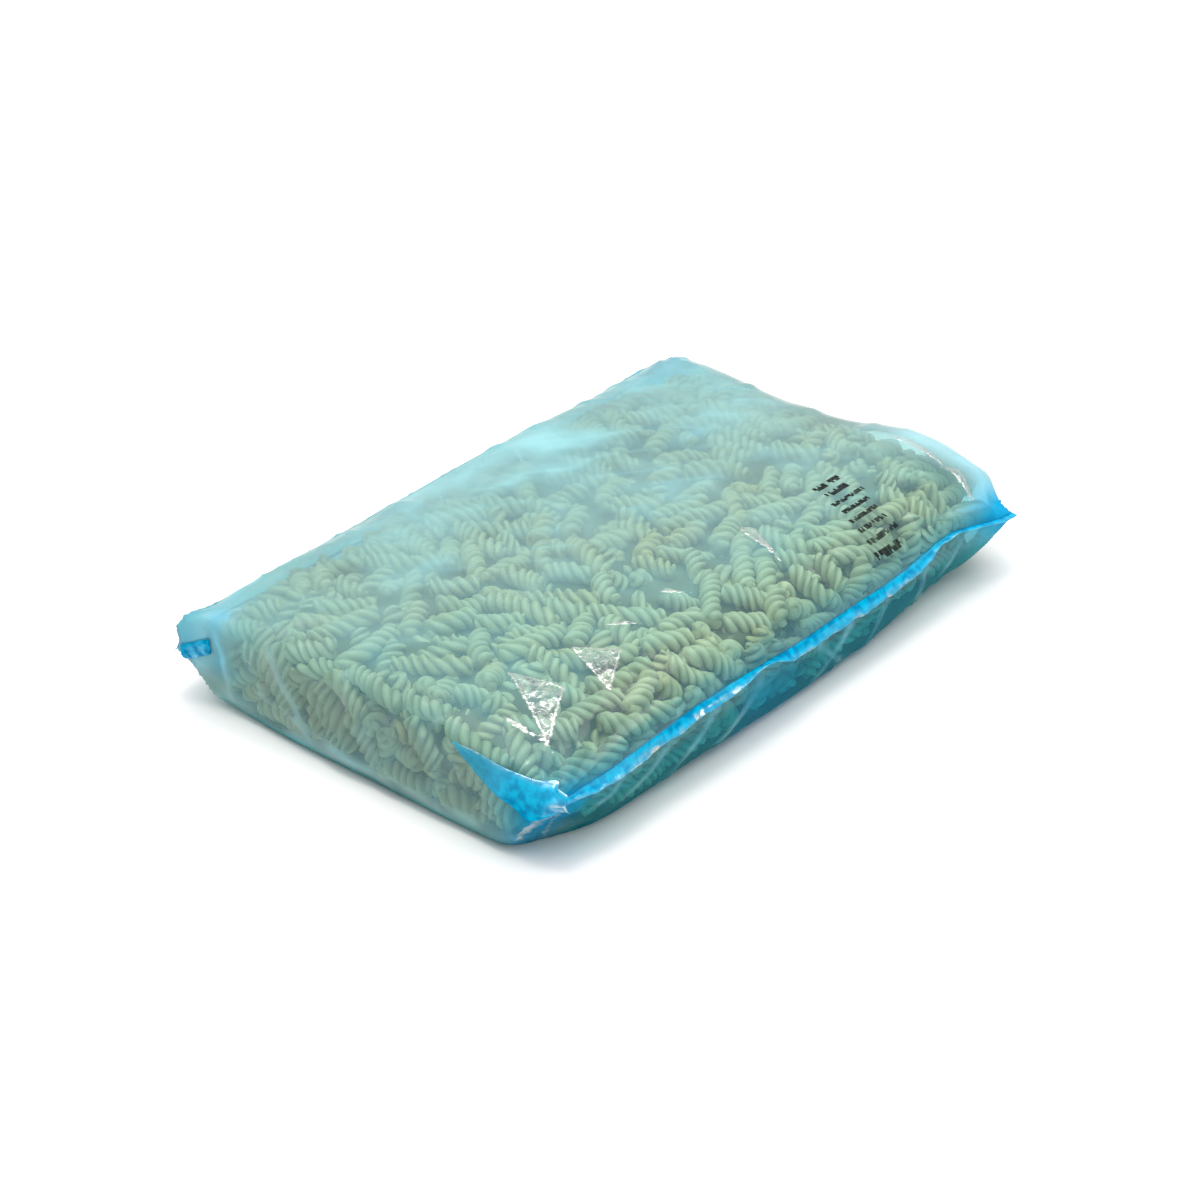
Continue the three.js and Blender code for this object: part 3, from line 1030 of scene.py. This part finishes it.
# ---------------- seals and folded corners
SEAL_LOOK = seal_material()
FIN_ROWS, FIN_COLS = 420, 10
FLAP_ROWS, FLAP_COLS = 60, 26
TAB_ROWS, TAB_COLS = 24, 12
SEAL_SHEET, FOLD_SHEET = 0.22, 0.25  # half the thickness of sealed and of folded film, in mm
LEFT_OF_BAG = -260


def strip(name, sheets, dense, glint):
    """A thin solid band from its two faces, each a grid of points."""
    top, under = sheets
    rows, cols = top.shape[:2]
    loop = np.concatenate([top, under[:, ::-1]], 1)
    faces = grid_faces(rows, 2 * cols).tolist()
    first_end = list(range(2 * cols))
    faces.append(first_end)
    faces.append([(rows - 1) * 2 * cols + i for i in reversed(first_end)])
    attributes = {}
    for key, values in (("dense", dense), ("glint", glint)):
        values = np.broadcast_to(values, (rows, cols))
        attributes[key] = np.concatenate([values, values[:, ::-1]], 1)
    band = make_object(name, loop, faces, attributes=attributes)
    outward(band)
    band.data.materials.append(SEAL_LOOK)
    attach(band, "root")


def seal_line(end):
    """Points at equal steps along the film's first or last ring."""
    line = film_points[0 if end < 0 else -1][: ACROSS + 1]
    along = np.concatenate([[0], np.cumsum(np.linalg.norm(np.diff(line, axis=0), axis=1))])
    at = np.linspace(0, along[-1], FIN_ROWS)
    return [np.interp(at, along, line[:, axis])[:, None] for axis in range(3)]


def fin(name, end):
    """The flat sealed end of the tube: a thin crinkled band that stands out from the seal and droops."""
    x, y, z = seal_line(end)
    share = np.linspace(0, 1, FIN_COLS)[None, :]
    droop = np.radians(34 + 10 * noise(place(x / 45), 41 + end))
    width = 6.6 + 0.5 * noise(place(x / 20), 44)
    if end < 0:
        droop = droop + np.radians(24) * bump(x, -108, 38) - np.radians(68) * bump(x, -32, 34)
        droop = droop - np.radians(24) * ramp(x, 105, 125)
        width = width - 3.0 * ramp(x, 105, 125) - 3.5 * ramp(-x, 150, 182)
    else:
        width = width - 6.0 * ramp(x, 176, 204) - 3.0 * ramp(-x, 165, 186)
    out = share * width
    ruffle = 1.0 * noise(place(x / 9), 51) + 0.45 * noise(place(x / 3.5, share * 2.5), 52)
    xx = x + 0 * share
    yy = y + end * (out * np.cos(droop) - 0.6)
    zz = z - out * np.sin(droop) + ruffle * share
    sheets = [np.stack([xx, yy, zz + side * SEAL_SHEET], -1) for side in (1, -1)]
    # The fin is paler and clearer in noise patches and towards its outer edge
    paler_patches = ramp(noise(place(x / 30, share * 4), 57), 0, 0.6)
    dense = 1 - 0.4 * share**3 - 0.35 * paler_patches
    patch = 0.16 + 1.1 * bump(x, -95, 50) + 0.3 * bump(x, 60, 60)
    streaks = ramp(noise(place(x / 7, share * 2), 55), -0.1, 0.5)
    strip(name, sheets, dense, patch * ramp(share, 0.45, 0.8) * streaks + 0.16 * ramp(share, 0.85, 1))


def left_wall(yz, miss):
    """X where the film is met from the left at points given as Y and Z, or miss where it isn't."""
    hits = [film_tree.ray_cast(Vector((LEFT_OF_BAG, *p)), Vector((1, 0, 0)))[0] for p in yz.reshape(-1, 2)]
    return np.array([hit[0] if hit else miss for hit in hits]).reshape(yz.shape[:2])


def smoothed_outward(wall, rounds):
    """A grid of X brought out over its own hollows."""
    for _ in range(rounds):
        padded = np.pad(wall, 1, mode="edge")
        around = (padded[:-2, 1:-1] + padded[2:, 1:-1] + padded[1:-1, :-2] + padded[1:-1, 2:]) / 4
        wall = np.minimum(wall, around)
    return wall


def folded_sheets(x, yz):
    """The two faces of a fold of film at x over points given as Y and Z."""
    return [np.stack([x + side * FOLD_SHEET, yz[..., 0], yz[..., 1]], -1) for side in (-1, 1)]


def flap():
    """The surplus corner of the tube, folded flat over the left side in a long triangle."""
    u = np.linspace(0, 1, FLAP_ROWS)[:, None]
    w = np.linspace(0, 1, FLAP_COLS)[None, :]
    pinch, tip, crease_end = np.array([-122, 42]), np.array([-58, 49]), np.array([-113, 20])
    along, swell = u[..., None], np.sin(np.pi * u)[..., None]
    upper = pinch * (1 - along) + tip * along + np.array([0, 2.5]) * swell
    lower = crease_end * (1 - along) + tip * along + np.array([0, -1.5]) * swell
    lower = lower + (pinch - np.array([1, 9]) - crease_end) * bell(along, 0.09)
    yz = upper * (1 - w[..., None]) + lower * w[..., None]
    wall = left_wall(yz, -180)
    wall = smoothed_outward(np.where(wall < -170, wall, -180), 6)
    puff = 2.2 * np.sin(np.pi * w) ** 0.7 * (1 - u) ** 0.5
    rise = 0.7 + puff + 0.5 * noise(place(yz[..., 0] / 9, yz[..., 1] / 9), 81)
    dense = 0.08 + 0.92 * ramp(u, 0.66, 0.34) * (0.8 + 0.2 * w)
    pinched = 0.7 * bell(u - 0.03, 0.04) * ramp(w, 0.1, 0.6)
    edge = 0.5 * bell(w, 0.05)
    glint = np.maximum(pinched, edge) * ramp(u, 1, 0.9)
    strip("corner_flap", folded_sheets(wall - rise, yz), dense, glint)


def ear_tab():
    """The end of the back seal, folded round the far left corner."""
    u = np.linspace(0, 1, TAB_ROWS)[:, None]
    w = np.linspace(0, 1, TAB_COLS)[None, :]
    near_end, far_end = np.array([104.0, 43.0]), np.array([121.0, 35.0])
    drop = np.array([1.5, -10.0])
    yz = near_end + (far_end - near_end) * u[..., None] + drop * w[..., None]
    wall = left_wall(yz, -186)
    middle = np.sort(wall.ravel())[wall.size // 2]
    x = np.minimum(wall, middle + 3) - 1.0
    strip("back_seal_end", folded_sheets(x, yz), 1.0, 0.2 * np.sin(np.pi * u) * w)


fin("front_seal", -1)
fin("back_seal", 1)
flap()
ear_tab()

# ---------------- print
INK_ROWS = 8
ABOVE_BAG = 200
INK_BELOW, INK_ABOVE = 0.05, 0.25  # the ink's two faces over the film, in mm
FIRST_ROW, ROW_STEP = np.array([101.0, -61.0]), np.array([-3.2, -7.8])
BLOCK_FACES = ((3, 2, 1, 0), (4, 5, 6, 7), (0, 1, 5, 4), (1, 2, 6, 5), (2, 3, 7, 6), (3, 0, 4, 7))


def ink_block(corner, size):
    """A closed thin slab of ink on the film, its lower corner and size given in X and Y."""
    sheet = []
    for dx, dy in ((0, 0), (1, 0), (1, 1), (0, 1)):
        above = Vector((corner[0] + dx * size[0], corner[1] + dy * size[1], ABOVE_BAG))
        hit, normal, _, _ = film_tree.ray_cast(above, Vector((0, 0, -1)))
        sheet.append((np.array(hit), np.array(normal)))
    return [at + normal * rise for rise in (INK_BELOW, INK_ABOVE) for at, normal in sheet]


def ink_rows():
    """Eight rows of plain blocks where the pack is printed."""
    points, faces = [], []
    for k in range(INK_ROWS):
        start = FIRST_ROW + ROW_STEP * k
        heavy = k in (0, 1, INK_ROWS - 1)
        length = 21 if heavy else rng.uniform(19, 27)
        tall = 4.0 if heavy else 3.0
        at = 0.0
        while at < length:
            wide = rng.uniform(0.8, 1.4) if heavy else rng.uniform(0.5, 1.0)
            low, high = rng.choice([0.0, 0.0, 0.0, 0.4]), rng.choice([1.0, 1.0, 1.0, 0.6])
            if high - low > 0.2:
                base = len(points)
                points += ink_block(start + np.array([at, tall * low]), (wide, tall * (high - low)))
                faces += [[base + i for i in face] for face in BLOCK_FACES]
            at += wide + rng.choice([0.35, 0.5, 1.6], p=[0.5, 0.45, 0.05])
    return make_object("print_rows", points, faces, smooth=False)


ink = ink_rows()
ink.data.materials.append(plain_material("black_ink", INK_COLOUR, 0.6, 400))
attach(ink, "root")

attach(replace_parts(film, "pasta_bag"), "root")

# ---------------- stage, in metres
FLOOR_SIZE, UNDER_BAG = 8, -0.0004
WORLD_STRENGTH = 0.7
AIM = Vector((0.0151, 0.0268, 0.0001))
AZIMUTH, ELEVATION, DISTANCE = math.radians(-51.22), math.radians(29.5), 1.55
LENS, SENSOR = 87, 36

bpy.ops.mesh.primitive_plane_add(size=FLOOR_SIZE, location=(0, 0, UNDER_BAG))
floor = bpy.context.object
floor.name = "floor"
floor.data.materials.append(plain_material("pale_floor", FLOOR_COLOUR, 0.7))

world = bpy.data.worlds.new("studio")
bpy.context.scene.world = world
world.use_nodes = True
sky = world.node_tree.nodes["Background"].inputs
sky["Color"].default_value = WHITE
sky["Strength"].default_value = WORLD_STRENGTH


def lamp(name, spot, aim, size, power, colour=(1, 1, 1)):
    """A square area lamp at a spot, facing its aim."""
    light = bpy.data.lights.new(name, "AREA")
    light.size = size
    light.energy = power
    light.color = colour
    ob = bpy.data.objects.new(name, light)
    ob.location = spot
    ob.rotation_euler = (Vector(aim) - Vector(spot)).to_track_quat("-Z", "Y").to_euler()
    bpy.context.scene.collection.objects.link(ob)


lamp("overhead", (0.12, -0.1, 2.0), (0, 0, 0), 2.4, 44)
lamp("key", (-0.35, -0.1, 1.6), (0, 0, 0.03), 0.3, 4, (1.0, 0.94, 0.86))

camera = bpy.data.cameras.new("camera")
camera.lens = LENS
camera.sensor_width = SENSOR
eye = bpy.data.objects.new("camera", camera)
level = math.cos(ELEVATION)
back = Vector((math.sin(AZIMUTH) * level, -math.cos(AZIMUTH) * level, math.sin(ELEVATION)))
eye.location = AIM + back * DISTANCE
eye.rotation_euler = (-back).to_track_quat("-Z", "Y").to_euler()
bpy.context.scene.collection.objects.link(eye)
bpy.context.scene.camera = eye
bpy.context.scene.view_settings.view_transform = "Standard"
